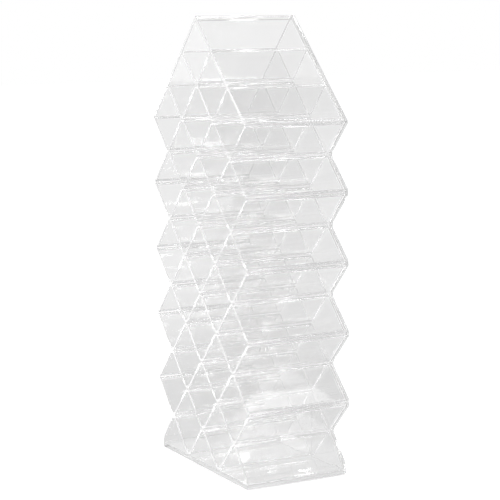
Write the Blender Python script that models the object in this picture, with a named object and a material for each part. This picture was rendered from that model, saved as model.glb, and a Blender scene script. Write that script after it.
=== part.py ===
# Clear acrylic lipstick organizer: a free-standing tower of diamond compartments, open at the front.
# Bent zigzag dividers are cemented tip to tip on a base plate, under a folded roof over the top three rows
# and against a flat panel across the back. Level 0 is the ridge, and the levels are counted down from it.
# Units are metres. +Z is up, X runs across the front, and the compartments open towards -Y.

import math

import bmesh
import bpy
from mathutils import Matrix

# Driving dimensions of the lattice
COMPARTMENT_PITCH = 0.038     # spacing of neighbouring compartments at one level
ROW_PITCH = 0.019             # height of one divider row, half the height of a diamond
LATTICE_DEPTH = 0.0585        # front edge to back edge of every divider, the roof and the base
WIDE_COUNT = 3                # compartments side by side at a wide level, and rows under the roof
ZIGZAG_ROWS = 10              # rows from the base up to the roof's eaves
BASE_SETBACK = 0.0038         # how far the base's sides lie in from the widest dividers
FOOT_LEG = 0.0012             # straight length of the upright feet at the ends of the lowest divider

# Sheet thicknesses
BASE_SHEET = 0.0025
DIVIDER_SHEET = 0.0015
ROOF_SHEET = 0.002
PANEL_SHEET = 0.002

# Corners and edges
DIVIDER_BEND_RADIUS = 0.0025     # inside radius of each bend of a divider
ROOF_RISE = 0.056                # from the roof's feet to its ridge
ROOF_INNER_RADIUS = 0.0035       # inside radius of the fold at the ridge
ROOF_RIDGE_RADIUS = 0.001        # outside radius of the fold at the ridge
BASE_EDGE_RADIUS = 0.0016        # rounding of the base plate's lower side edges
PANEL_POINT_RADIUS = 0.0015      # rounding of the panel's outward points
PANEL_NOTCH_RADIUS = 0.0026      # rounding of the panel's inward notches

BOND_GAP = 0.0003                # cement line between two pieces
ARC_STEP = math.radians(12)      # largest turn between two points of a rounded corner
ARC_LEAST_STEPS = 2              # fewest straight steps in a rounded corner
FILLET_SHARE = 0.95              # largest share of half a side that a rounded corner may take
WELD_DISTANCE = 0.00002          # points closer than this become one
SMOOTH_ANGLE = math.radians(25)  # edges that turn more than this stay crisp
CUTTER_MARGIN = 0.02             # how far a trimming block reaches past what it trims

# Finishes: colour and roughness of each clear sheet
FINISHES = {
    "base_acrylic": ((0.96, 0.97, 0.97), 0.05),
    "divider_acrylic": ((0.97, 0.97, 0.98), 0.05),
    "roof_acrylic": ((0.98, 0.98, 0.98), 0.04),
    "panel_acrylic": ((0.98, 0.98, 0.98), 0.03),
}
ACRYLIC_IOR = 1.49
VIEWPORT_ALPHA = 0.4

# Sizes that follow from the driving dimensions
HALF_PITCH = COMPARTMENT_PITCH / 2
WIDE_HALF = WIDE_COUNT * HALF_PITCH
NARROW_HALF = WIDE_HALF - HALF_PITCH
BASE_LEVEL = WIDE_COUNT + ZIGZAG_ROWS
BEND_MIDDLE_RADIUS = DIVIDER_BEND_RADIUS + DIVIDER_SHEET / 2
BEND_OUTER_RADIUS = DIVIDER_BEND_RADIUS + DIVIDER_SHEET

# A slat runs straight between the bend below it and the bend above it, and its lean follows from those two
BEND_RISE = ROW_PITCH - BOND_GAP - 2 * BEND_OUTER_RADIUS
BEND_TURN = math.asin(2 * BEND_MIDDLE_RADIUS / math.hypot(BEND_RISE, HALF_PITCH))
SLAT_ANGLE = math.atan2(BEND_RISE, HALF_PITCH) + BEND_TURN
SLAT_WIDTH = DIVIDER_SHEET / math.sin(SLAT_ANGLE)

# The outer faces of two outermost slats meet in a notch, and their ends meet in a point
NOTCH_HALF = NARROW_HALF + (HALF_PITCH + SLAT_WIDTH - ROW_PITCH / math.tan(SLAT_ANGLE)) / 2
POINT_HALF_HEIGHT = DIVIDER_SHEET + BOND_GAP / 2

# The lowest divider's outermost slats lean to its feet, which stand flush with the base plate's sides
BASE_HALF = WIDE_HALF - BASE_SETBACK
FOOT_BEND_X = BASE_HALF - BEND_OUTER_RADIUS
FOOT_BEND_HEIGHT = BASE_SHEET + BOND_GAP + FOOT_LEG
FOOT_SLAT_DROP = BASE_SHEET + ROW_PITCH - BEND_OUTER_RADIUS - FOOT_BEND_HEIGHT
FOOT_SLAT_ANGLE = math.atan2(FOOT_SLAT_DROP, FOOT_BEND_X - NARROW_HALF)
HEEL_HEIGHT = FOOT_BEND_HEIGHT + BEND_OUTER_RADIUS * math.tan((math.pi / 2 - FOOT_SLAT_ANGLE) / 2)

GROUND_LEVEL_HEIGHT = BASE_SHEET + BOND_GAP / 2
EAVES_HEIGHT = GROUND_LEVEL_HEIGHT + ZIGZAG_ROWS * ROW_PITCH
ROOF_FOOT_HEIGHT = EAVES_HEIGHT + BOND_GAP / 2
ROOF_ANGLE = math.atan2(ROOF_RISE, WIDE_HALF)
RIDGE_HEIGHT = ROOF_FOOT_HEIGHT + ROOF_RISE
TOTAL_DEPTH = LATTICE_DEPTH + BOND_GAP + PANEL_SHEET
LATTICE_CENTRE_Y = (LATTICE_DEPTH - TOTAL_DEPTH) / 2
PANEL_CENTRE_Y = (TOTAL_DEPTH - PANEL_SHEET) / 2


def clear_scene():
    for old in list(bpy.data.objects):
        bpy.data.objects.remove(old, do_unlink=True)


def new_collection(name):
    collection = bpy.data.collections.new(name)
    bpy.context.scene.collection.children.link(collection)
    return collection


def clear_acrylic(name):
    """A clear cast sheet: hardly any colour, polished, not metallic."""
    colour, roughness = FINISHES[name]
    material = bpy.data.materials.new(name)
    material.use_nodes = True
    shader = material.node_tree.nodes["Principled BSDF"]
    shader.inputs["Base Color"].default_value = (*colour, 1.0)
    shader.inputs["Roughness"].default_value = roughness
    shader.inputs["Metallic"].default_value = 0.0
    shader.inputs["IOR"].default_value = ACRYLIC_IOR
    shader.inputs["Transmission Weight"].default_value = 1.0
    material.diffuse_color = (*colour, VIEWPORT_ALPHA)
    return material


def corner_count(level):
    """Compartment widths across a level."""
    if level <= WIDE_COUNT:
        return level
    steps_below_eaves = level - WIDE_COUNT
    return WIDE_COUNT - steps_below_eaves % 2


def level_height(level):
    """Height at which the tips of two rows of dividers meet."""
    return GROUND_LEVEL_HEIGHT + (BASE_LEVEL - level) * ROW_PITCH


def arc(centre_x, centre_z, radius, start, end, side):
    """Points round a bend, where side is 1 at the top of a row and -1 at its bottom."""
    steps = max(ARC_LEAST_STEPS, math.ceil(abs(end - start) / ARC_STEP))
    points = []
    for step in range(steps + 1):
        angle = start + (end - start) * step / steps
        points.append((centre_x + radius * math.sin(angle), centre_z + side * radius * math.cos(angle)))
    return points


def rounded(corners):
    """Turns (x, z, radius) corners into outline points, with an arc at each corner that has a radius."""
    points = []
    count = len(corners)
    for index, (x, z, radius) in enumerate(corners):
        before = corners[index - 1]
        after = corners[(index + 1) % count]
        to_before = (before[0] - x, before[1] - z)
        to_after = (after[0] - x, after[1] - z)
        if radius <= 0:
            points.append((x, z))
            continue
        room = min(math.hypot(*to_before), math.hypot(*to_after)) / 2
        start = math.atan2(to_before[1], to_before[0])
        end = math.atan2(to_after[1], to_after[0])
        opening = (end - start + math.pi) % (2 * math.pi) - math.pi
        half_opening = abs(opening) / 2
        reach = min(radius / math.tan(half_opening), room * FILLET_SHARE)
        fillet = reach * math.tan(half_opening)
        middle = start + opening / 2
        centre_x = x + fillet / math.sin(half_opening) * math.cos(middle)
        centre_z = z + fillet / math.sin(half_opening) * math.sin(middle)
        turn = math.pi - abs(opening)
        steps = max(ARC_LEAST_STEPS, math.ceil(turn / ARC_STEP))
        first = start - math.copysign(math.pi / 2, opening)
        for step in range(steps + 1):
            angle = first - math.copysign(turn, opening) * step / steps
            points.append((centre_x + fillet * math.cos(angle), centre_z + fillet * math.sin(angle)))
    return points


def extruded(name, outline, depth, centre_y, collection):
    """A flat outline in the XZ plane, given its thickness along Y, as one welded mesh object."""
    curve = bpy.data.curves.new(name, "CURVE")
    curve.dimensions = "2D"
    curve.fill_mode = "BOTH"
    curve.extrude = depth / 2
    spline = curve.splines.new("POLY")
    spline.points.add(len(outline) - 1)
    for point, (x, z) in zip(spline.points, outline):
        point.co = (x, z, 0.0, 1.0)
    spline.use_cyclic_u = True
    source = bpy.data.objects.new(f"{name}_outline", curve)
    source.matrix_world = Matrix.Translation((0.0, centre_y, 0.0)) @ Matrix.Rotation(math.pi / 2, 4, "X")
    collection.objects.link(source)
    bpy.context.view_layer.update()

    evaluated = source.evaluated_get(bpy.context.evaluated_depsgraph_get())
    mesh = bpy.data.meshes.new_from_object(evaluated)
    mesh.name = name
    shape = bmesh.new()
    shape.from_mesh(mesh)
    bmesh.ops.remove_doubles(shape, verts=shape.verts, dist=WELD_DISTANCE)
    bmesh.ops.recalc_face_normals(shape, faces=shape.faces)
    shape.to_mesh(mesh)
    shape.free()

    piece = bpy.data.objects.new(name, mesh)
    collection.objects.link(piece)
    piece.matrix_world = source.matrix_world
    bpy.data.objects.remove(source, do_unlink=True)
    return piece


def finish(piece, material, parent):
    """Gives a piece its finish, smooth shading on its rounded corners, and its place in the assembly."""
    piece.data.materials.clear()
    piece.data.materials.append(material)
    piece.data.shade_smooth()
    piece.data.set_sharp_from_angle(angle=SMOOTH_ANGLE)
    piece.parent = parent
    return piece


def make_cutter(name, outline, collection):
    """A trimming block, deeper than what it trims. It is a guide and not a piece of the object."""
    block = extruded(name, outline, LATTICE_DEPTH + 2 * CUTTER_MARGIN, LATTICE_CENTRE_Y, collection)
    block.hide_render = True
    block.display_type = "WIRE"
    return block


def keep_inside(piece, block):
    """Trims a piece to the part of it that lies within a block."""
    trim = piece.modifiers.new("trim", "BOOLEAN")
    trim.operation = "INTERSECT"
    trim.solver = "EXACT"
    trim.object = block


def bend(x, at_top, bottom, top, start, end):
    """The upper and lower faces of a divider round one bend, between two turns from its middle."""
    side = 1 if at_top else -1
    centre_z = top - BEND_OUTER_RADIUS if at_top else bottom + BEND_OUTER_RADIUS
    outer = arc(x, centre_z, BEND_OUTER_RADIUS, start, end, side)
    inner = arc(x, centre_z, DIVIDER_BEND_RADIUS, start, end, side)
    return (outer, inner) if at_top else (inner, outer)


def divider_outline(first_x, bend_count, starts_at_top, bottom, top):
    """The outline of a bent zigzag sheet between two heights, cut upright in the middle of its end bends."""
    upper = []
    lower = []
    for index in range(bend_count):
        x = first_x + index * HALF_PITCH
        at_top = (index % 2 == 0) == starts_at_top
        start = 0.0 if index == 0 else -SLAT_ANGLE
        end = 0.0 if index == bend_count - 1 else SLAT_ANGLE
        above, below = bend(x, at_top, bottom, top, start, end)
        upper += above
        lower += below
    return upper + lower[::-1]


def footed_outline(bottom, top):
    """The outline of the lowest divider, whose ends are bent upright into feet on the base plate."""
    foot_out = [(-BASE_HALF, bottom)]
    foot_in = [(DIVIDER_SHEET - BASE_HALF, bottom)]
    foot_out += arc(-FOOT_BEND_X, FOOT_BEND_HEIGHT, BEND_OUTER_RADIUS, -math.pi / 2, -FOOT_SLAT_ANGLE, 1)
    foot_in += arc(-FOOT_BEND_X, FOOT_BEND_HEIGHT, DIVIDER_BEND_RADIUS, -math.pi / 2, -FOOT_SLAT_ANGLE, 1)
    upper = list(foot_out)
    lower = list(foot_in)
    last = 2 * (WIDE_COUNT - 1)
    for index in range(last + 1):
        x = index * HALF_PITCH - NARROW_HALF
        at_top = index % 2 == 0
        start = -FOOT_SLAT_ANGLE if index == 0 else -SLAT_ANGLE
        end = FOOT_SLAT_ANGLE if index == last else SLAT_ANGLE
        above, below = bend(x, at_top, bottom, top, start, end)
        upper += above
        lower += below
    upper += [(-x, z) for x, z in reversed(foot_out)]
    lower += [(-x, z) for x, z in reversed(foot_in)]
    return upper + lower[::-1]


def make_base(material, parent, collection):
    corners = [
        (-BASE_HALF, 0.0, BASE_EDGE_RADIUS),
        (BASE_HALF, 0.0, BASE_EDGE_RADIUS),
        (BASE_HALF, BASE_SHEET, 0.0),
        (-BASE_HALF, BASE_SHEET, 0.0),
    ]
    base = extruded("base_plate", rounded(corners), LATTICE_DEPTH, LATTICE_CENTRE_Y, collection)
    return finish(base, material, parent)


def make_dividers(material, parent, collection, attic):
    """One bent divider in each row but the highest, which lies under the ridge."""
    for row in range(1, BASE_LEVEL):
        level_above = BASE_LEVEL - row
        above = corner_count(level_above)
        below = corner_count(level_above + 1)
        under_roof = level_above < WIDE_COUNT
        widest = above if under_roof else max(above, below)
        starts_at_top = under_roof or above > below
        bottom = level_height(level_above + 1) + BOND_GAP / 2
        top = level_height(level_above) - BOND_GAP / 2
        if row == 1:
            outline = footed_outline(bottom, top)
        else:
            outline = divider_outline(-widest * HALF_PITCH, 2 * widest + 1, starts_at_top, bottom, top)
        divider = extruded(f"divider_{row:02d}", outline, LATTICE_DEPTH, LATTICE_CENTRE_Y, collection)
        if under_roof:
            keep_inside(divider, attic)
        finish(divider, material, parent)


def make_roof(material, parent, collection):
    """One sheet folded at the ridge, standing on the ends of the eaves row."""
    foot_inner = WIDE_HALF - ROOF_SHEET / math.sin(ROOF_ANGLE)
    inner_ridge = RIDGE_HEIGHT - ROOF_SHEET / math.cos(ROOF_ANGLE)
    corners = [
        (WIDE_HALF, ROOF_FOOT_HEIGHT, 0.0),
        (0.0, RIDGE_HEIGHT, ROOF_RIDGE_RADIUS),
        (-WIDE_HALF, ROOF_FOOT_HEIGHT, 0.0),
        (-foot_inner, ROOF_FOOT_HEIGHT, 0.0),
        (0.0, inner_ridge, ROOF_INNER_RADIUS),
        (foot_inner, ROOF_FOOT_HEIGHT, 0.0),
    ]
    roof = extruded("roof_sheet", rounded(corners), LATTICE_DEPTH, LATTICE_CENTRE_Y, collection)
    return finish(roof, material, parent)


def panel_side():
    """Corners up the right side of the back panel: out to each wide level, in to each narrow one."""
    corners = [(BASE_HALF, 0.0, BASE_EDGE_RADIUS), (BASE_HALF, HEEL_HEIGHT, BEND_OUTER_RADIUS)]
    for level in range(BASE_LEVEL - 1, WIDE_COUNT, -1):
        height = level_height(level)
        if corner_count(level) < WIDE_COUNT:
            corners.append((NOTCH_HALF, height, PANEL_NOTCH_RADIUS))
        else:
            corners.append((WIDE_HALF, height - POINT_HALF_HEIGHT, PANEL_POINT_RADIUS))
            corners.append((WIDE_HALF, height + POINT_HALF_HEIGHT, PANEL_POINT_RADIUS))
    corners.append((WIDE_HALF, EAVES_HEIGHT - POINT_HALF_HEIGHT, PANEL_POINT_RADIUS))
    corners.append((WIDE_HALF, ROOF_FOOT_HEIGHT, 0.0))
    return corners


def make_back_panel(material, parent, collection):
    """A flat panel with the outline of the whole tower, cemented to every back edge."""
    right = panel_side()
    left = [(-x, z, radius) for x, z, radius in reversed(right)]
    ridge = [(0.0, RIDGE_HEIGHT, ROOF_RIDGE_RADIUS)]
    panel = extruded("back_panel", rounded(right + ridge + left), PANEL_SHEET, PANEL_CENTRE_Y, collection)
    return finish(panel, material, parent)


def attic_outline():
    """The space under the roof's two slopes, a cement line in from them, down to below the eaves."""
    thickness = ROOF_SHEET + BOND_GAP
    top = RIDGE_HEIGHT - thickness / math.cos(ROOF_ANGLE)
    bottom = EAVES_HEIGHT - CUTTER_MARGIN
    half = (top - bottom) / math.tan(ROOF_ANGLE)
    return [(-half, bottom), (half, bottom), (0.0, top)]


def main():
    clear_scene()
    pieces = new_collection("lipstick_organizer")
    cutters = new_collection("trimming_blocks")

    assembly = bpy.data.objects.new("organizer_origin", None)
    pieces.objects.link(assembly)

    attic = make_cutter("attic_block", attic_outline(), cutters)

    make_base(clear_acrylic("base_acrylic"), assembly, pieces)
    make_dividers(clear_acrylic("divider_acrylic"), assembly, pieces, attic)
    make_roof(clear_acrylic("roof_acrylic"), assembly, pieces)
    make_back_panel(clear_acrylic("panel_acrylic"), assembly, pieces)


main()
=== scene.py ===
# Clear acrylic lipstick organizer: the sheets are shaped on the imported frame, given their finishes,
# and stood on a plain white studio floor.
import math

import bmesh
import bpy
from mathutils import Matrix, Vector


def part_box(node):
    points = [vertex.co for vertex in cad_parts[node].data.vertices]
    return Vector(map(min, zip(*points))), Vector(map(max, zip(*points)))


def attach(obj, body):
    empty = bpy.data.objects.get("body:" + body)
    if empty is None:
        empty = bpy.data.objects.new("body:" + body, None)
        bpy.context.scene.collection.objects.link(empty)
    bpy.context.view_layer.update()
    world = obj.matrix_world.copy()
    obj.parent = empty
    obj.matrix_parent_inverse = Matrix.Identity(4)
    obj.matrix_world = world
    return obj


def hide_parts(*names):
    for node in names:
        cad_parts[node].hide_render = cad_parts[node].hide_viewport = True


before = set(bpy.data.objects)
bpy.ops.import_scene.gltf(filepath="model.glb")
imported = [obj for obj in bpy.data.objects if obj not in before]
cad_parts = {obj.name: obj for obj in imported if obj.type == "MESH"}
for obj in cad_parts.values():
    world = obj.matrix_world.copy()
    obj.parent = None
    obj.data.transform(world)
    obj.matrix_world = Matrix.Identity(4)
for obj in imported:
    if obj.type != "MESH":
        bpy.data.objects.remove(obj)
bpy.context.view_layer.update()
print("frame loaded:", len(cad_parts), "nodes")


# sizes that the frame gives
def nodeSize(name):
    low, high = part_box(name)
    return low, high, high - low


baseLow, baseHigh, baseSize = nodeSize("base_plate")
secondLow, secondHigh, secondSize = nodeSize("divider_02")
panelLow, _, panelSize = nodeSize("back_panel")
roofLow, roofHigh, roofSize = nodeSize("roof_sheet")
towerLook = {
    "compartmentsAcross": 3,
    "zigzagRows": 10,
}
compartmentsAcross = towerLook["compartmentsAcross"]
zigzagRows = towerLook["zigzagRows"]
rowTotal = zigzagRows + compartmentsAcross
wideHalf = secondHigh.x
halfPitch = wideHalf / compartmentsAcross
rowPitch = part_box("divider_03")[0].z - secondLow.z
cementLine = rowPitch - secondSize.z


def tipHeight(row):
    # where the tips of this row and the next one meet
    return baseHigh.z + cementLine / 2 + row * rowPitch


# helpers for the node trees
colourMix = {"first": 6, "second": 7, "result": 2}    # places of a mix node's colour sockets


def nodeMath(tree, operation, *values):
    node = tree.nodes.new("ShaderNodeMath")
    node.operation = operation
    for socket, value in zip(node.inputs, values):
        if isinstance(value, bpy.types.NodeSocket):
            tree.links.new(value, socket)
        else:
            socket.default_value = value
    return node.outputs[0]


def pick(tree, factor, whenLow, whenHigh):
    # whenHigh where the factor is 1, whenLow where it is 0
    high = nodeMath(tree, "MULTIPLY", factor, whenHigh)
    low = nodeMath(tree, "MULTIPLY", nodeMath(tree, "SUBTRACT", 1.0, factor), whenLow)
    return nodeMath(tree, "ADD", high, low)


def newShapeTree(name, inputs):
    tree = bpy.data.node_groups.new(name, "GeometryNodeTree")
    tree.interface.new_socket("Geometry", in_out="OUTPUT", socket_type="NodeSocketGeometry")
    for label, kind, value in inputs:
        socket = tree.interface.new_socket(label, in_out="INPUT", socket_type=kind)
        if value is not None:
            socket.default_value = value
    entry = tree.nodes.new("NodeGroupInput")
    return tree, {socket.name: socket for socket in entry.outputs if socket.name}


def closeTree(tree, geometry, material):
    # real geometry with its finish
    realize = tree.nodes.new("GeometryNodeRealizeInstances")
    finish = tree.nodes.new("GeometryNodeSetMaterial")
    leave = tree.nodes.new("NodeGroupOutput")
    tree.links.new(geometry, realize.inputs["Geometry"])
    tree.links.new(realize.outputs["Geometry"], finish.inputs["Geometry"])
    tree.links.new(material, finish.inputs["Material"])
    tree.links.new(finish.outputs["Geometry"], leave.inputs[0])


def thicken(tree, geometry, depth, weldDistance):
    # a flat face in XZ pushed back along Y, with its own front kept
    push = tree.nodes.new("GeometryNodeExtrudeMesh")
    push.mode = "FACES"
    push.inputs["Individual"].default_value = False
    direction = tree.nodes.new("ShaderNodeCombineXYZ")
    direction.inputs["Y"].default_value = 1.0
    turned = tree.nodes.new("GeometryNodeFlipFaces")
    join = tree.nodes.new("GeometryNodeJoinGeometry")
    weld = tree.nodes.new("GeometryNodeMergeByDistance")
    tree.links.new(geometry, push.inputs["Mesh"])
    tree.links.new(direction.outputs[0], push.inputs["Offset"])
    tree.links.new(depth, push.inputs["Offset Scale"])
    tree.links.new(geometry, turned.inputs["Mesh"])
    tree.links.new(turned.outputs["Mesh"], join.inputs["Geometry"])
    tree.links.new(push.outputs["Mesh"], join.inputs["Geometry"])
    tree.links.new(join.outputs["Geometry"], weld.inputs["Geometry"])
    tree.links.new(weldDistance, weld.inputs["Distance"])
    return weld.outputs["Geometry"]


# the bent zigzag divider
dividerLook = {
    "sheet": 0.0015,
    "bendRadius": 0.0025,          # inside radius of each bend
    "arcSteps": 8,                 # steps from the middle of a bend to its end
    "countSlack": 0.01,            # keeps whole numbers on their side when columns are counted
    "weldDistance": 0.000004,
    "edgeRadius": 0.00022,
    "endMark": 1.0,                # how far front and back ends count as cut edges
    "sideMark": 0.0,               # the same for sides
    "sideLean": 0.95,              # a face whose normal reaches this along X is a side
}


def buildDividerTree():
    tree, given = newShapeTree("zigzagDivider", [
        ("Half Pitch", "NodeSocketFloat", 0.019),
        ("Bend Count", "NodeSocketInt", 7),
        ("Height", "NodeSocketFloat", 0.0187),
        ("Slat Angle", "NodeSocketFloat", 0.81),
        ("Sheet", "NodeSocketFloat", 0.0015),
        ("Bend Radius", "NodeSocketFloat", 0.0025),
        ("Arc Steps", "NodeSocketInt", 8),
        ("Depth", "NodeSocketFloat", 0.0585),
        ("Front", "NodeSocketFloat", -0.03),
        ("Floor", "NodeSocketFloat", 0.003),
        ("First X", "NodeSocketFloat", -0.057),
        ("Starts At Top", "NodeSocketFloat", 0.0),
        ("Count Slack", "NodeSocketFloat", 0.01),
        ("Weld Distance", "NodeSocketFloat", 0.000004),
        ("Material", "NodeSocketMaterial", None),
    ])
    steps = given["Arc Steps"]
    perBend = nodeMath(tree, "ADD", nodeMath(tree, "MULTIPLY", steps, 2.0), 1.0)
    columns = nodeMath(tree, "MULTIPLY", perBend, given["Bend Count"])
    lastColumn = nodeMath(tree, "SUBTRACT", columns, 1.0)
    grid = tree.nodes.new("GeometryNodeMeshGrid")
    grid.inputs["Size X"].default_value = 1.0
    grid.inputs["Size Y"].default_value = 1.0
    grid.inputs["Vertices Y"].default_value = 2
    tree.links.new(columns, grid.inputs["Vertices X"])
    place = tree.nodes.new("GeometryNodeInputPosition")
    split = tree.nodes.new("ShaderNodeSeparateXYZ")
    tree.links.new(place.outputs[0], split.inputs[0])
    along = nodeMath(tree, "ADD", split.outputs["X"], 0.5)
    column = nodeMath(tree, "ROUND", nodeMath(tree, "MULTIPLY", along, lastColumn))
    upperFace = nodeMath(tree, "GREATER_THAN", split.outputs["Y"], 0.0)

    # which bend a column belongs to, and how far it is turned from the middle of that bend
    shiftedColumn = nodeMath(tree, "ADD", column, given["Count Slack"])
    bend = nodeMath(tree, "FLOOR", nodeMath(tree, "DIVIDE", shiftedColumn, perBend))
    inBend = nodeMath(tree, "SUBTRACT", column, nodeMath(tree, "MULTIPLY", bend, perBend))
    share = nodeMath(tree, "DIVIDE", nodeMath(tree, "SUBTRACT", inBend, steps), steps)
    atFirst = nodeMath(tree, "LESS_THAN", bend, 0.5)
    atLast = nodeMath(tree, "GREATER_THAN", bend, nodeMath(tree, "SUBTRACT", given["Bend Count"], 1.5))
    notBefore = pick(tree, atFirst, -1.0, 0.0)
    notAfter = pick(tree, atLast, 1.0, 0.0)
    keptShare = nodeMath(tree, "MINIMUM", nodeMath(tree, "MAXIMUM", share, notBefore), notAfter)
    turn = nodeMath(tree, "MULTIPLY", given["Slat Angle"], keptShare)

    # the outer face of a bend is the upper one at the top of a row and the lower one at its bottom
    parity = nodeMath(tree, "MODULO", bend, 2.0)
    atTop = nodeMath(tree, "ABSOLUTE", nodeMath(tree, "SUBTRACT", given["Starts At Top"], parity))
    onInner = nodeMath(tree, "ABSOLUTE", nodeMath(tree, "SUBTRACT", atTop, upperFace))
    outerRadius = nodeMath(tree, "ADD", given["Bend Radius"], given["Sheet"])
    radius = pick(tree, onInner, outerRadius, given["Bend Radius"])
    side = pick(tree, atTop, -1.0, 1.0)
    centre = pick(tree, atTop, outerRadius, nodeMath(tree, "SUBTRACT", given["Height"], outerRadius))
    bendX = nodeMath(tree, "ADD", given["First X"], nodeMath(tree, "MULTIPLY", bend, given["Half Pitch"]))
    x = nodeMath(tree, "ADD", bendX, nodeMath(tree, "MULTIPLY", radius, nodeMath(tree, "SINE", turn)))
    lift = nodeMath(tree, "MULTIPLY", radius, nodeMath(tree, "COSINE", turn))
    rise = nodeMath(tree, "MULTIPLY", side, lift)
    z = nodeMath(tree, "ADD", given["Floor"], nodeMath(tree, "ADD", centre, rise))

    target = tree.nodes.new("ShaderNodeCombineXYZ")
    tree.links.new(x, target.inputs["X"])
    tree.links.new(given["Front"], target.inputs["Y"])
    tree.links.new(z, target.inputs["Z"])
    move = tree.nodes.new("GeometryNodeSetPosition")
    tree.links.new(grid.outputs["Mesh"], move.inputs["Geometry"])
    tree.links.new(target.outputs[0], move.inputs["Position"])
    solid = thicken(tree, move.outputs["Geometry"], given["Depth"], given["Weld Distance"])
    closeTree(tree, solid, given["Material"])
    return tree


# turning shapes into pieces
sheetLook = {
    "meltDistance": 0.000001,      # points closer than this become one
    "smallFace": 0.00012,          # smaller faces, in square metres, are parts of a rounding
    "crispAngle": 28.0,            # edges that turn more than this get rounded
    "roundSteps": 2,
    "facingFront": 0.9,            # a face whose normal reaches this along Y is a front or back end
    "cutDistance": 0.00001,        # a face this near to a cutting plane
    "cutFacing": 0.999,            # that turns the same way is a cut end too
}


def wearFinish(mesh, slots):
    # every face in the first slot
    for face in mesh.polygons:
        face.material_index = 0
    mesh.materials.clear()
    for finish in slots:
        mesh.materials.append(finish)


def settleMesh(mesh):
    shape = bmesh.new()
    shape.from_mesh(mesh)
    bmesh.ops.remove_doubles(shape, verts=shape.verts, dist=sheetLook["meltDistance"])
    bmesh.ops.dissolve_degenerate(shape, dist=sheetLook["meltDistance"], edges=shape.edges)
    bmesh.ops.recalc_face_normals(shape, faces=shape.faces)
    shape.to_mesh(mesh)
    shape.free()


def trimMesh(mesh, planes):
    # keeps what lies behind every plane, each given by a point and an outward direction, and closes the cuts
    shape = bmesh.new()
    shape.from_mesh(mesh)
    for point, outward in planes:
        everything = shape.verts[:] + shape.edges[:] + shape.faces[:]
        bmesh.ops.bisect_plane(shape, geom=everything, plane_co=point, plane_no=outward, clear_outer=True)
        openEdges = [edge for edge in shape.edges if edge.is_boundary]
        bmesh.ops.edgeloop_fill(shape, edges=openEdges)
    shape.to_mesh(mesh)
    shape.free()


def polishEdges(piece, finish, radius):
    # small rounding of every crisp edge, baked into a plain mesh; its faces keep slot 1 until marked
    wearFinish(piece.data, [finish, finish])
    bevel = piece.modifiers.new("polishedEdges", "BEVEL")
    bevel.width = radius
    bevel.segments = sheetLook["roundSteps"]
    bevel.limit_method = "ANGLE"
    bevel.angle_limit = math.radians(sheetLook["crispAngle"])
    bevel.use_clamp_overlap = True
    bevel.miter_outer = "MITER_ARC"
    bevel.material = 1
    bpy.context.view_layer.update()
    graph = bpy.context.evaluated_depsgraph_get()
    rounded = bpy.data.meshes.new_from_object(piece.evaluated_get(graph))
    piece.modifiers.clear()
    rounded.name = piece.name
    piece.data = rounded


def onPlane(face, planes):
    # whether a face is one of the cuts that the planes made
    return any(abs((face.center - point).dot(outward)) < sheetLook["cutDistance"]
               and face.normal.dot(outward) > sheetLook["cutFacing"] for point, outward in planes)


def markFaces(mesh, look, planes):
    # wide flat faces and ends keep their true normal,
    # and each face learns how far it is a cut edge or a rounded rim
    cuts = []
    rims = []
    for face in mesh.polygons:
        atEnd = abs(face.normal.y) > sheetLook["facingFront"] or onPlane(face, planes)
        atSide = abs(face.normal.y) < 1 - sheetLook["facingFront"] and abs(face.normal.x) > look["sideLean"]
        face.use_smooth = face.area < sheetLook["smallFace"] and not atEnd
        cuts.append(look["endMark"] if atEnd else look["sideMark"] if atSide else 0.0)
        rims.append(1.0 if face.material_index == 1 else 0.0)
    wearFinish(mesh, [mesh.materials[0]])
    for name, values in (("cutEdge", cuts), ("polishedRim", rims)):
        mesh.attributes.new(name, "FLOAT", "FACE")
        mesh.attributes[name].data.foreach_set("value", values)


def finishPiece(piece, finish, look, planes=()):
    settleMesh(piece.data)
    if planes:
        trimMesh(piece.data, planes)
    polishEdges(piece, finish, look["edgeRadius"])
    settleMesh(piece.data)
    markFaces(piece.data, look, planes)
    return piece


def grownPiece(name, tree, values, look, planes):
    # one run of a shape tree with its own values, kept as a plain mesh
    holder = bpy.data.objects.new(name, bpy.data.meshes.new(name))
    bpy.context.scene.collection.objects.link(holder)
    grow = holder.modifiers.new("shape", "NODES")
    grow.node_group = tree
    identifiers = {item.name: item.identifier for item in tree.interface.items_tree if item.in_out == "INPUT"}
    for label, value in values.items():
        grow[identifiers[label]] = value
    bpy.context.view_layer.update()
    graph = bpy.context.evaluated_depsgraph_get()
    mesh = bpy.data.meshes.new_from_object(holder.evaluated_get(graph))
    holder.modifiers.clear()
    holder.data = mesh
    mesh.name = name
    return finishPiece(holder, values["Material"], look, planes)


def roundedOutline(corners, steps):
    # (x, z, radius) corners become points, with an arc at each corner that has a radius
    points = []
    for index, (x, z, radius) in enumerate(corners):
        before = corners[index - 1]
        after = corners[(index + 1) % len(corners)]
        if radius <= 0:
            points.append((x, z))
            continue
        start = math.atan2(before[1] - z, before[0] - x)
        end = math.atan2(after[1] - z, after[0] - x)
        opening = (end - start + math.pi) % (2 * math.pi) - math.pi
        half = abs(opening) / 2
        room = min(math.dist((x, z), before[:2]), math.dist((x, z), after[:2])) / 2
        reach = min(radius / math.tan(half), room)
        arc = reach * math.tan(half)
        middle = start + opening / 2
        centre = (x + arc / math.sin(half) * math.cos(middle), z + arc / math.sin(half) * math.sin(middle))
        turn = math.pi - abs(opening)
        first = start - math.copysign(math.pi / 2, opening)
        for step in range(steps + 1):
            angle = first - math.copysign(turn, opening) * step / steps
            points.append((centre[0] + arc * math.cos(angle), centre[1] + arc * math.sin(angle)))
    return points


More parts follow.
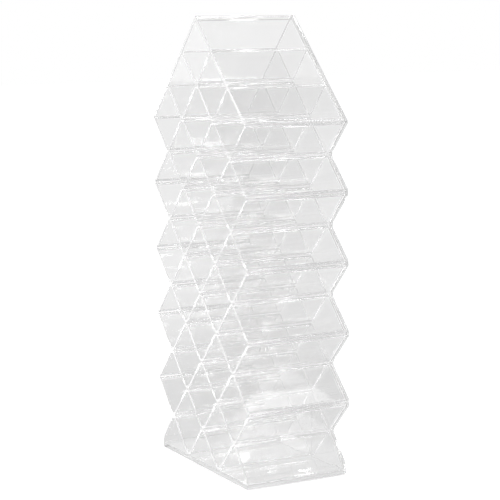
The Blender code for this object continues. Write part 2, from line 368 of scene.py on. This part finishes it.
def cutPiece(name, corners, front, depth, finish, look):
    # a sheet cut to an outline, with polished edges
    shape = bmesh.new()
    rim = [shape.verts.new((x, front, z)) for x, z in roundedOutline(corners, look["arcSteps"])]
    face = shape.faces.new(rim)
    pushed = bmesh.ops.extrude_face_region(shape, geom=[face])
    moved = [item for item in pushed["geom"] if isinstance(item, bmesh.types.BMVert)]
    bmesh.ops.translate(shape, verts=moved, vec=(0.0, depth, 0.0))
    mesh = bpy.data.meshes.new(name)
    shape.to_mesh(mesh)
    shape.free()
    piece = bpy.data.objects.new(name, mesh)
    bpy.context.scene.collection.objects.link(piece)
    return finishPiece(piece, finish, look)


def seat(piece, node):
    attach(piece, "root")
    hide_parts(node)


# finishes of the clear sheets
surfaceLook = {
    "index": 1.49,
    "waveScale": 54.0,
    "waveHeight": 0.00007,         # depth of the waves that pulled sheet has
    "waveDetail": 2.0,
    "fineScale": 600.0,
    "fineDetail": 3.0,
    "fineShare": 0.03,
    "dustFrom": 0.55,              # share of the fine pattern above which dust lies
    "dustMost": 0.3,
    "edgeRoughness": 0.15,
    "paintedEdgeGlow": 0.06,              # painted glow that the cut edges give out, though the sheet is no lamp
    "paintedFootGlow": 0.19,               # painted glow, stronger at the foot, standing in for the pale floor lighting the sheets from below
    "paintedGlowHeight": 0.17,
}


def buildSurfaceGroup():
    # uneven gloss, faint waviness and a trace of dust that all the acrylic sheets share, with a painted glow
    # and painted shade on their cut edges and rims
    group = bpy.data.node_groups.new("acrylicSurface", "ShaderNodeTree")
    for label, kind, value in [
        ("Tint", "NodeSocketColor", (0.98, 0.98, 0.98, 1.0)),
        ("Edge Tint", "NodeSocketColor", (0.9, 0.91, 0.91, 1.0)),
        ("Rim Shade Tint", "NodeSocketColor", (0.9, 0.9, 0.9, 1.0)),
        ("Wave Scale", "NodeSocketFloat", 54.0),
        ("Wave Amount", "NodeSocketFloat", 1.0),
        ("Base Roughness", "NodeSocketFloat", 0.02),
        ("Edge Roughness", "NodeSocketFloat", 0.25),
        ("Painted Edge Glow", "NodeSocketFloat", 0.1),
        ("Painted Foot Glow", "NodeSocketFloat", 0.1),
        ("Painted Glow Height", "NodeSocketFloat", 0.17),
        ("Dust", "NodeSocketFloat", 0.1),
    ]:
        group.interface.new_socket(label, in_out="INPUT", socket_type=kind).default_value = value
    group.interface.new_socket("Colour", in_out="OUTPUT", socket_type="NodeSocketColor")
    group.interface.new_socket("Roughness", in_out="OUTPUT", socket_type="NodeSocketFloat")
    group.interface.new_socket("Height", in_out="OUTPUT", socket_type="NodeSocketFloat")
    group.interface.new_socket("Glow", in_out="OUTPUT", socket_type="NodeSocketColor")
    entry = group.nodes.new("NodeGroupInput")
    leave = group.nodes.new("NodeGroupOutput")
    coordinates = group.nodes.new("ShaderNodeTexCoord")

    wave = group.nodes.new("ShaderNodeTexNoise")
    wave.inputs["Detail"].default_value = surfaceLook["waveDetail"]
    group.links.new(coordinates.outputs["Object"], wave.inputs["Vector"])
    group.links.new(entry.outputs["Wave Scale"], wave.inputs["Scale"])
    fine = group.nodes.new("ShaderNodeTexNoise")
    fine.inputs["Scale"].default_value = surfaceLook["fineScale"]
    fine.inputs["Detail"].default_value = surfaceLook["fineDetail"]
    group.links.new(coordinates.outputs["Object"], fine.inputs["Vector"])
    waveHeight = nodeMath(group, "MULTIPLY", wave.outputs["Fac"], entry.outputs["Wave Amount"])
    fineHeight = nodeMath(group, "MULTIPLY", fine.outputs["Fac"], surfaceLook["fineShare"])
    group.links.new(nodeMath(group, "ADD", waveHeight, fineHeight), leave.inputs["Height"])

    marks = {}
    for name in ("cutEdge", "polishedRim"):
        mark = group.nodes.new("ShaderNodeAttribute")
        mark.attribute_name = name
        marks[name] = mark.outputs["Fac"]
    pastDust = nodeMath(group, "SUBTRACT", fine.outputs["Fac"], surfaceLook["dustFrom"])
    dustMask = nodeMath(group, "MINIMUM", nodeMath(group, "MAXIMUM", pastDust, 0.0), surfaceLook["dustMost"])
    dust = nodeMath(group, "MULTIPLY", dustMask, entry.outputs["Dust"])
    plain = nodeMath(group, "ADD", entry.outputs["Base Roughness"], dust)
    rough = pick(group, marks["cutEdge"], plain, entry.outputs["Edge Roughness"])
    group.links.new(rough, leave.inputs["Roughness"])
    # painted glow: cut edges that are not rims emit light, more of it towards the foot
    notRim = nodeMath(group, "SUBTRACT", 1.0, marks["polishedRim"])
    paintedGlowFaces = nodeMath(group, "MULTIPLY", marks["cutEdge"], notRim)
    place = group.nodes.new("ShaderNodeSeparateXYZ")
    group.links.new(coordinates.outputs["Object"], place.inputs["Vector"])
    height = nodeMath(group, "DIVIDE", place.outputs["Z"], entry.outputs["Painted Glow Height"])
    height = nodeMath(group, "MINIMUM", height, 1.0)
    glow = pick(group, height, entry.outputs["Painted Foot Glow"], entry.outputs["Painted Edge Glow"])
    group.links.new(nodeMath(group, "MULTIPLY", paintedGlowFaces, glow), leave.inputs["Glow"])

    # painted shade: cut edges and rims take darker tints so that they render as grey lines
    colour = entry.outputs["Tint"]
    for name, tint in (("cutEdge", "Edge Tint"), ("polishedRim", "Rim Shade Tint")):
        blend = group.nodes.new("ShaderNodeMix")
        blend.data_type = "RGBA"
        group.links.new(marks[name], blend.inputs["Factor"])
        group.links.new(colour, blend.inputs[colourMix["first"]])
        group.links.new(entry.outputs[tint], blend.inputs[colourMix["second"]])
        colour = blend.outputs[colourMix["result"]]
    group.links.new(colour, leave.inputs["Colour"])
    return group


surfaceGroup = buildSurfaceGroup()
finishLook = {
    "base_acrylic": {
        "tint": 0.985, "edgeShadeTint": 0.9, "rimShadeTint": 0.82, "roughness": 0.01,
        "waviness": 0.5, "dust": 0.05, "glow": 0.25,
    },
    "divider_acrylic": {
        "tint": 0.98, "edgeShadeTint": 0.95, "rimShadeTint": 0.8, "roughness": 0.01,
        "waviness": 0.5, "dust": 0.05, "glow": 1.0,
    },
    "roof_acrylic": {
        "tint": 0.985, "edgeShadeTint": 0.98, "rimShadeTint": 0.82, "roughness": 0.01,
        "waviness": 0.7, "dust": 0.05, "glow": 1.0,
    },
    "panel_acrylic": {
        "tint": 0.985, "edgeShadeTint": 0.9, "rimShadeTint": 0.82, "roughness": 0.01,
        "waviness": 0.5, "dust": 0.05, "glow": 0.6,
    },
}


def clearSheet(name, look):
    material = bpy.data.materials.new(name)
    material.use_nodes = True
    tree = material.node_tree
    shader = tree.nodes["Principled BSDF"]
    surface = tree.nodes.new("ShaderNodeGroup")
    surface.node_tree = surfaceGroup
    # the edge and rim tints are painted shade that greys the cut edges and rims
    for label, key in (("Tint", "tint"), ("Edge Tint", "edgeShadeTint"), ("Rim Shade Tint", "rimShadeTint")):
        surface.inputs[label].default_value = (look[key], look[key], look[key], 1.0)
    surface.inputs["Wave Scale"].default_value = surfaceLook["waveScale"]
    surface.inputs["Wave Amount"].default_value = look["waviness"]
    surface.inputs["Base Roughness"].default_value = look["roughness"]
    surface.inputs["Edge Roughness"].default_value = surfaceLook["edgeRoughness"]
    # painted glow on the cut edges, scaled for each finish
    surface.inputs["Painted Edge Glow"].default_value = surfaceLook["paintedEdgeGlow"] * look["glow"]
    surface.inputs["Painted Foot Glow"].default_value = surfaceLook["paintedFootGlow"] * look["glow"]
    surface.inputs["Painted Glow Height"].default_value = surfaceLook["paintedGlowHeight"]
    surface.inputs["Dust"].default_value = look["dust"]
    bump = tree.nodes.new("ShaderNodeBump")
    bump.inputs["Strength"].default_value = 1.0
    bump.inputs["Distance"].default_value = surfaceLook["waveHeight"]
    tree.links.new(surface.outputs["Colour"], shader.inputs["Base Color"])
    tree.links.new(surface.outputs["Roughness"], shader.inputs["Roughness"])
    # the painted edge glow goes into Emission Color
    tree.links.new(surface.outputs["Glow"], shader.inputs["Emission Color"])
    shader.inputs["Emission Strength"].default_value = 1.0
    tree.links.new(surface.outputs["Height"], bump.inputs["Height"])
    tree.links.new(bump.outputs["Normal"], shader.inputs["Normal"])
    shader.inputs["Metallic"].default_value = 0.0
    shader.inputs["IOR"].default_value = surfaceLook["index"]
    shader.inputs["Transmission Weight"].default_value = 1.0
    return material


finishes = {slot: clearSheet(slot.replace("_acrylic", "Acrylic"), look) for slot, look in finishLook.items()}
print("finishes ready:", len(finishes))

# the roof's slope, which the dividers under it are cut to
roofLook = {
    "sheet": 0.002,
    "innerRadius": 0.0015,         # inside radius of the fold
    "ridgeRadius": 0.001,
    "ridgeTries": 12,              # rounds until the sharp ridge and the slope agree
    "edgeRadius": 0.0003,
    "arcSteps": 8,
    "endMark": 1.0,
    "sideMark": 0.0,
    "sideLean": 0.95,
}


def sharpRidge():
    # the height of the sharp ridge that the frame's rounded one comes from, and the roof's slope
    top = roofHigh.z
    for _ in range(roofLook["ridgeTries"]):
        lean = math.atan2(top - roofLow.z, wideHalf)
        top = roofHigh.z + roofLook["ridgeRadius"] * (1 / math.cos(lean) - 1)
    return top, lean


ridgeTop, ridgeLean = sharpRidge()
underRidge = Vector((0.0, 0.0, ridgeTop - (roofLook["sheet"] + cementLine) / math.cos(ridgeLean)))
roofPlanes = [(underRidge, Vector((side * math.sin(ridgeLean), 0.0, math.cos(ridgeLean))))
              for side in (-1.0, 1.0)]

# dividers, one in each row
dividerTree = buildDividerTree()
bendOuter = dividerLook["bendRadius"] + dividerLook["sheet"]
bendMiddle = dividerLook["bendRadius"] + dividerLook["sheet"] / 2
bendRise = secondSize.z - 2 * bendOuter
slatAngle = math.atan2(bendRise, halfPitch) + math.asin(2 * bendMiddle / math.hypot(bendRise, halfPitch))
for row in range(2, rowTotal):    # the first one has feet and comes below
    node = f"divider_{row:02d}"
    low, high, size = nodeSize(node)
    levelAbove = rowTotal - row
    underRoof = levelAbove < compartmentsAcross
    wideAbove = levelAbove >= compartmentsAcross and (levelAbove - compartmentsAcross) % 2 == 0
    halfCount = levelAbove if underRoof else compartmentsAcross
    seat(grownPiece(f"divider{row:02d}", dividerTree, {
        "Half Pitch": halfPitch,
        "Bend Count": 2 * halfCount + 1,
        "Height": secondSize.z,
        "Slat Angle": slatAngle,
        "Sheet": dividerLook["sheet"],
        "Bend Radius": dividerLook["bendRadius"],
        "Arc Steps": dividerLook["arcSteps"],
        "Depth": size.y,
        "Front": low.y,
        "Floor": low.z,
        "First X": -halfCount * halfPitch,
        "Starts At Top": 1.0 if underRoof or wideAbove else 0.0,
        "Count Slack": dividerLook["countSlack"],
        "Weld Distance": dividerLook["weldDistance"],
        "Material": finishes["divider_acrylic"],
    }, dividerLook, roofPlanes if underRoof else ()), node)

# the lowest divider, whose ends are bent upright into feet on the base plate
firstLow, firstHigh, firstSize = nodeSize("divider_01")
footLook = {
    "leg": 0.0012,
}
footX = firstHigh.x - bendOuter
footZ = firstLow.z + footLook["leg"]
narrowHalf = wideHalf - halfPitch
footAngle = math.atan2(firstHigh.z - bendOuter - footZ, footX - narrowHalf)


def bendArc(x, z, radius, start, end, side):
    # points round a bend, where side is 1 at the top of the row and -1 at its bottom
    steps = dividerLook["arcSteps"]
    turns = [start + (end - start) * step / steps for step in range(steps + 1)]
    return [(x + radius * math.sin(turn), z + side * radius * math.cos(turn), 0.0) for turn in turns]


def footedOutline():
    # the outline of the lowest divider: foot, slats and bends from left to right, then the left foot mirrored
    upper = [(-firstHigh.x, firstLow.z, 0.0)]
    lower = [(dividerLook["sheet"] - firstHigh.x, firstLow.z, 0.0)]
    upper += bendArc(-footX, footZ, bendOuter, -math.pi / 2, -footAngle, 1)
    lower += bendArc(-footX, footZ, dividerLook["bendRadius"], -math.pi / 2, -footAngle, 1)
    footPoints = len(upper)
    lastBend = 2 * (compartmentsAcross - 1)
    for index in range(lastBend + 1):
        atTop = index % 2 == 0
        x = index * halfPitch - narrowHalf
        z = firstHigh.z - bendOuter if atTop else firstLow.z + bendOuter
        start = -footAngle if index == 0 else -slatAngle
        end = footAngle if index == lastBend else slatAngle
        side = 1 if atTop else -1
        outer = bendArc(x, z, bendOuter, start, end, side)
        inner = bendArc(x, z, dividerLook["bendRadius"], start, end, side)
        upper += outer if atTop else inner
        lower += inner if atTop else outer
    for line in (upper, lower):
        line += [(-x, z, radius) for x, z, radius in reversed(line[:footPoints])]
    return upper + lower[::-1]


seat(cutPiece("divider01", footedOutline(), firstLow.y, firstSize.y,
              finishes["divider_acrylic"], dividerLook), "divider_01")
print("dividers ready:", rowTotal - 1)

# base plate
baseLook = {
    "sideRadius": 0.0016,
    "edgeRadius": 0.0003,
    "arcSteps": 4,
    "endMark": 0.5,
    "sideMark": 1.0,
    "sideLean": 0.5,
}
seat(cutPiece("basePlate", [
    (baseLow.x, baseLow.z, baseLook["sideRadius"]),
    (baseHigh.x, baseLow.z, baseLook["sideRadius"]),
    (baseHigh.x, baseHigh.z, 0.0),
    (baseLow.x, baseHigh.z, 0.0),
], baseLow.y, baseSize.y, finishes["base_acrylic"], baseLook), "base_plate")

# roof, one sheet folded at the ridge
innerFoot = wideHalf - roofLook["sheet"] / math.sin(ridgeLean)
seat(cutPiece("roofSheet", [
    (wideHalf, roofLow.z, 0.0),
    (0.0, ridgeTop, roofLook["ridgeRadius"]),
    (-wideHalf, roofLow.z, 0.0),
    (-innerFoot, roofLow.z, 0.0),
    (0.0, ridgeTop - roofLook["sheet"] / math.cos(ridgeLean), roofLook["innerRadius"]),
    (innerFoot, roofLow.z, 0.0),
], roofLow.y, roofSize.y, finishes["roof_acrylic"], roofLook), "roof_sheet")

# back panel, with the outline of the whole tower
panelLook = {
    "pointRadius": 0.0015,
    "notchRadius": 0.0026,
    "edgeRadius": 0.0003,
    "arcSteps": 6,
    "endMark": 0.0,
    "sideMark": 0.25,
    "sideLean": 0.3,
}
slatWidth = dividerLook["sheet"] / math.sin(slatAngle)
notchHalf = wideHalf - halfPitch + (halfPitch + slatWidth - rowPitch / math.tan(slatAngle)) / 2
heel = footZ + bendOuter * math.tan((math.pi / 2 - footAngle) / 2)
pointHalf = dividerLook["sheet"] + cementLine / 2
panelRight = [(baseHigh.x, panelLow.z, baseLook["sideRadius"]), (baseHigh.x, heel, bendOuter)]
for row in range(1, zigzagRows):
    height = tipHeight(row)
    if row % 2:
        panelRight.append((notchHalf, height, panelLook["notchRadius"]))
    else:
        panelRight.append((wideHalf, height - pointHalf, panelLook["pointRadius"]))
        panelRight.append((wideHalf, height + pointHalf, panelLook["pointRadius"]))
panelRight.append((wideHalf, tipHeight(zigzagRows) - pointHalf, panelLook["pointRadius"]))
panelRight.append((wideHalf, roofLow.z, 0.0))
panelLeft = [(-x, z, radius) for x, z, radius in reversed(panelRight)]
panelRidge = [(0.0, ridgeTop, roofLook["ridgeRadius"])]
seat(cutPiece("backPanel", panelRight + panelRidge + panelLeft, panelLow.y, panelSize.y,
              finishes["panel_acrylic"], panelLook), "back_panel")
print("base, roof and back panel ready")

# studio
studioLook = {
    "floorColour": (0.82, 0.82, 0.82),
    "floorRoughness": 0.9,
    "floorSize": 6.0,
    "floorDrop": 0.0002,           # gap under the base plate
    "floorSeen": 0.5,              # lift of the floor where the camera sees it
    # close by, the floor seen through the acrylic is darker: painted shadow of the object
    "nearThrough": 0.74,           # floor seen through the acrylic: close by,
    "farThrough": 0.88,            # towards the backdrop
    "sideThrough": 0.68,           # and towards the rest of the room
    "backdropSide": (-0.886, 0.463, 0.0),
    "backdropInner": 0.95,
    "backdropOuter": 0.65,
    "throughInner": 0.12,
    "throughOuter": 0.6,
    "underBase": 0.11,             # extra light on the floor under the base plate
    "underInner": 0.045,
    "underOuter": 0.075,
    "cardSide": (-0.886, -0.463, 0.0),    # where a bright card stands beside the object
    "cardInner": 0.95,
    "cardOuter": 0.6,
    "cardNear": 0.08,
    "cardFar": 0.3,
    "cardBright": 1.3,
    "poolInner": 0.25,             # the pool of light that reflections find on the floor
    "poolOuter": 0.85,
    "poolBright": 0.75,
    "poolDim": 0.6,
    "worldFill": 0.75,
    "horizonThrough": 0.97,        # air of the studio: low and overhead, through the acrylic, in reflections
    "horizonReflected": 0.55,
    "ceilingThrough": 0.62,
    "ceilingReflected": 0.48,
    "ceilingStart": 0.08,
    "ceilingFull": 0.45,
}


def ramp(tree, value, start, stop, atStart, atStop):
    node = tree.nodes.new("ShaderNodeMapRange")
    node.interpolation_type = "SMOOTHSTEP"
    tree.links.new(value, node.inputs["Value"])
    for label, number in (("From Min", start), ("From Max", stop), ("To Min", atStart), ("To Max", atStop)):
        node.inputs[label].default_value = number
    return node.outputs["Result"]


def byRay(tree, other, seen, through, reflected):
    # one value for each kind of ray: on matt surfaces, seen directly, through the acrylic, in a reflection
    path = tree.nodes.new("ShaderNodeLightPath")
    value = pick(tree, path.outputs["Is Glossy Ray"], other, reflected)
    value = pick(tree, path.outputs["Is Transmission Ray"], value, through)
    return pick(tree, path.outputs["Is Camera Ray"], value, seen)


def toward(tree, direction, side, outer, inner, most):
    # grows to its most where a direction comes round to the given side
    along = tree.nodes.new("ShaderNodeVectorMath")
    along.operation = "DOT_PRODUCT"
    flat = tree.nodes.new("ShaderNodeVectorMath")
    flat.operation = "NORMALIZE"
    tree.links.new(direction, flat.inputs[0])
    tree.links.new(flat.outputs["Vector"], along.inputs[0])
    along.inputs[1].default_value = side
    return ramp(tree, along.outputs["Value"], outer, inner, 0.0, most)


def cardGlow(tree, direction):
    # a bright card beside the object, as light in the world and as painted light on the floor
    return toward(tree, direction, studioLook["cardSide"], studioLook["cardOuter"], studioLook["cardInner"],
                  studioLook["cardBright"])


def backdropShare(tree, direction):
    # 1 towards the lit backdrop behind the object, 0 towards the rest of the room
    return toward(tree, direction, studioLook["backdropSide"], studioLook["backdropOuter"],
                  studioLook["backdropInner"], 1.0)


def makeFloor():
    size = studioLook["floorSize"]
    height = baseLow.z - studioLook["floorDrop"]
    shape = bmesh.new()
    corners = [(-size, -size), (size, -size), (size, size), (-size, size)]
    shape.faces.new([shape.verts.new((x, y, height)) for x, y in corners])
    mesh = bpy.data.meshes.new("studioFloor")
    shape.to_mesh(mesh)
    shape.free()
    floor = bpy.data.objects.new("studioFloor", mesh)
    bpy.context.scene.collection.objects.link(floor)
    material = bpy.data.materials.new("paleFloor")
    material.use_nodes = True
    tree = material.node_tree
    shader = tree.nodes["Principled BSDF"]
    shader.inputs["Base Color"].default_value = (*studioLook["floorColour"], 1.0)
    shader.inputs["Roughness"].default_value = studioLook["floorRoughness"]
    shader.inputs["Specular IOR Level"].default_value = 0.0
    # a pool of light round the object is what reflections find; seen directly the floor is lifted to white
    place = tree.nodes.new("ShaderNodeTexCoord")
    length = tree.nodes.new("ShaderNodeVectorMath")
    length.operation = "LENGTH"
    tree.links.new(place.outputs["Object"], length.inputs[0])
    pool = ramp(tree, length.outputs["Value"], studioLook["poolInner"], studioLook["poolOuter"],
                studioLook["poolBright"], studioLook["poolDim"])
    farShare = ramp(tree, length.outputs["Value"], studioLook["throughInner"], studioLook["throughOuter"],
                    0.0, 1.0)
    far = pick(tree, backdropShare(tree, place.outputs["Object"]), studioLook["sideThrough"],
               studioLook["farThrough"])
    # painted shadow: the floor is darker close to the object when seen through the acrylic
    through = pick(tree, farShare, studioLook["nearThrough"], far)
    # painted light: a brighter patch on the floor on the card's side, seen in reflections
    fromObject = ramp(tree, length.outputs["Value"], studioLook["cardNear"], studioLook["cardFar"], 0.0, 1.0)
    card = nodeMath(tree, "MULTIPLY", cardGlow(tree, place.outputs["Object"]), fromObject)
    pool = nodeMath(tree, "ADD", pool, card)
    under = ramp(tree, length.outputs["Value"], studioLook["underInner"], studioLook["underOuter"],
                 studioLook["underBase"], 0.0)
    through = nodeMath(tree, "ADD", through, under)
    glow = tree.nodes.new("ShaderNodeEmission")
    strength = byRay(tree, 0.0, studioLook["floorSeen"], through, pool)
    tree.links.new(strength, glow.inputs["Strength"])
    both = tree.nodes.new("ShaderNodeAddShader")
    tree.links.new(shader.outputs[0], both.inputs[0])
    tree.links.new(glow.outputs[0], both.inputs[1])
    onlyGlow = tree.nodes.new("ShaderNodeMixShader")
    tree.links.new(byRay(tree, 0.0, 0.0, 1.0, 1.0), onlyGlow.inputs["Fac"])
    tree.links.new(both.outputs[0], onlyGlow.inputs[1])
    tree.links.new(glow.outputs[0], onlyGlow.inputs[2])
    tree.links.new(onlyGlow.outputs[0], tree.nodes["Material Output"].inputs["Surface"])
    mesh.materials.append(material)


def makeWorld():
    # white at the height of the backdrop, dimmer overhead, as in a studio with a pale sweep
    world = bpy.data.worlds.new("studioAir")
    bpy.context.scene.world = world
    world.use_nodes = True
    tree = world.node_tree
    background = tree.nodes["Background"]
    background.inputs["Color"].default_value = (1.0, 1.0, 1.0, 1.0)
    place = tree.nodes.new("ShaderNodeTexCoord")
    split = tree.nodes.new("ShaderNodeSeparateXYZ")
    tree.links.new(place.outputs["Generated"], split.inputs[0])
    start, full = studioLook["ceilingStart"], studioLook["ceilingFull"]
    horizon = pick(tree, backdropShare(tree, place.outputs["Generated"]), studioLook["sideThrough"],
                   studioLook["horizonThrough"])
    overhead = ramp(tree, split.outputs["Z"], start, full, 0.0, 1.0)
    through = pick(tree, overhead, horizon, studioLook["ceilingThrough"])
    reflected = ramp(tree, split.outputs["Z"], start, full, studioLook["horizonReflected"],
                     studioLook["ceilingReflected"])
    reflected = nodeMath(tree, "ADD", reflected, cardGlow(tree, place.outputs["Generated"]))
    strength = byRay(tree, studioLook["worldFill"], 1.0, through, reflected)
    tree.links.new(strength, background.inputs["Strength"])


def addLamp(name, place, target, size, power):
    data = bpy.data.lights.new(name, "AREA")
    data.shape = "RECTANGLE"
    data.size, data.size_y = size
    data.energy = power
    lamp = bpy.data.objects.new(name, data)
    bpy.context.scene.collection.objects.link(lamp)
    lamp.location = place
    lamp.rotation_euler = (Vector(target) - Vector(place)).to_track_quat("-Z", "Y").to_euler()


makeFloor()
makeWorld()
lampLook = {
    "leftSoftBox": {
        "place": (-0.63, -0.91, 0.77), "target": (0.0, 0.0, 0.13),
        "size": (0.5, 0.7), "power": 1.8,
    },
    "topSoftBox": {
        "place": (0.21, -0.08, 1.05), "target": (0.0, 0.0, 0.14),
        "size": (0.56, 0.56), "power": 3.0,
    },
    "lowPatch": {
        "place": (0.42, 0.56, 1.05), "target": (0.0, 0.0, 0.14),
        "size": (0.12, 0.12), "power": 0.08,
    },
    "backStrip": {
        "place": (-0.155, 0.45, 1.05), "target": (0.0, 0.0, 0.14),
        "size": (0.19, 0.22), "power": 2.2,
    },
}
for name, values in lampLook.items():
    addLamp(name, **values)

# camera at the photo's angle
cameraLook = {
    "azimuth": 62.451,
    "elevation": 7.826,
    "roll": -0.81,
    "place": (0.7935, -0.4131, 0.2425),
    "focalPixels": 1626.7,
    "imagePixels": 500.0,
    "sensorWidth": 36.0,
    "lightBounces": 128,
}


def placeCamera():
    azimuth = math.radians(cameraLook["azimuth"])
    elevation = math.radians(cameraLook["elevation"])
    roll = math.radians(cameraLook["roll"])
    level = math.cos(elevation)
    right = Vector((math.cos(azimuth), math.sin(azimuth), 0.0))
    ahead = Vector((-math.sin(azimuth) * level, math.cos(azimuth) * level, -math.sin(elevation)))
    up = right.cross(ahead)
    rolledRight = math.cos(roll) * right + math.sin(roll) * up
    rolledUp = -math.sin(roll) * right + math.cos(roll) * up
    data = bpy.data.cameras.new("studioCamera")
    data.sensor_width = cameraLook["sensorWidth"]
    data.lens = data.sensor_width * cameraLook["focalPixels"] / cameraLook["imagePixels"]
    camera = bpy.data.objects.new("studioCamera", data)
    bpy.context.scene.collection.objects.link(camera)
    turn = Matrix((rolledRight, rolledUp, -ahead)).transposed().to_4x4()
    camera.matrix_world = Matrix.Translation(Vector(cameraLook["place"])) @ turn
    bpy.context.scene.camera = camera


placeCamera()
scene = bpy.context.scene
scene.view_settings.view_transform = "Standard"
scene.cycles.max_bounces = cameraLook["lightBounces"]
scene.cycles.transmission_bounces = cameraLook["lightBounces"]
scene.cycles.glossy_bounces = cameraLook["lightBounces"]
print("studio ready")

bpy.context.view_layer.update()
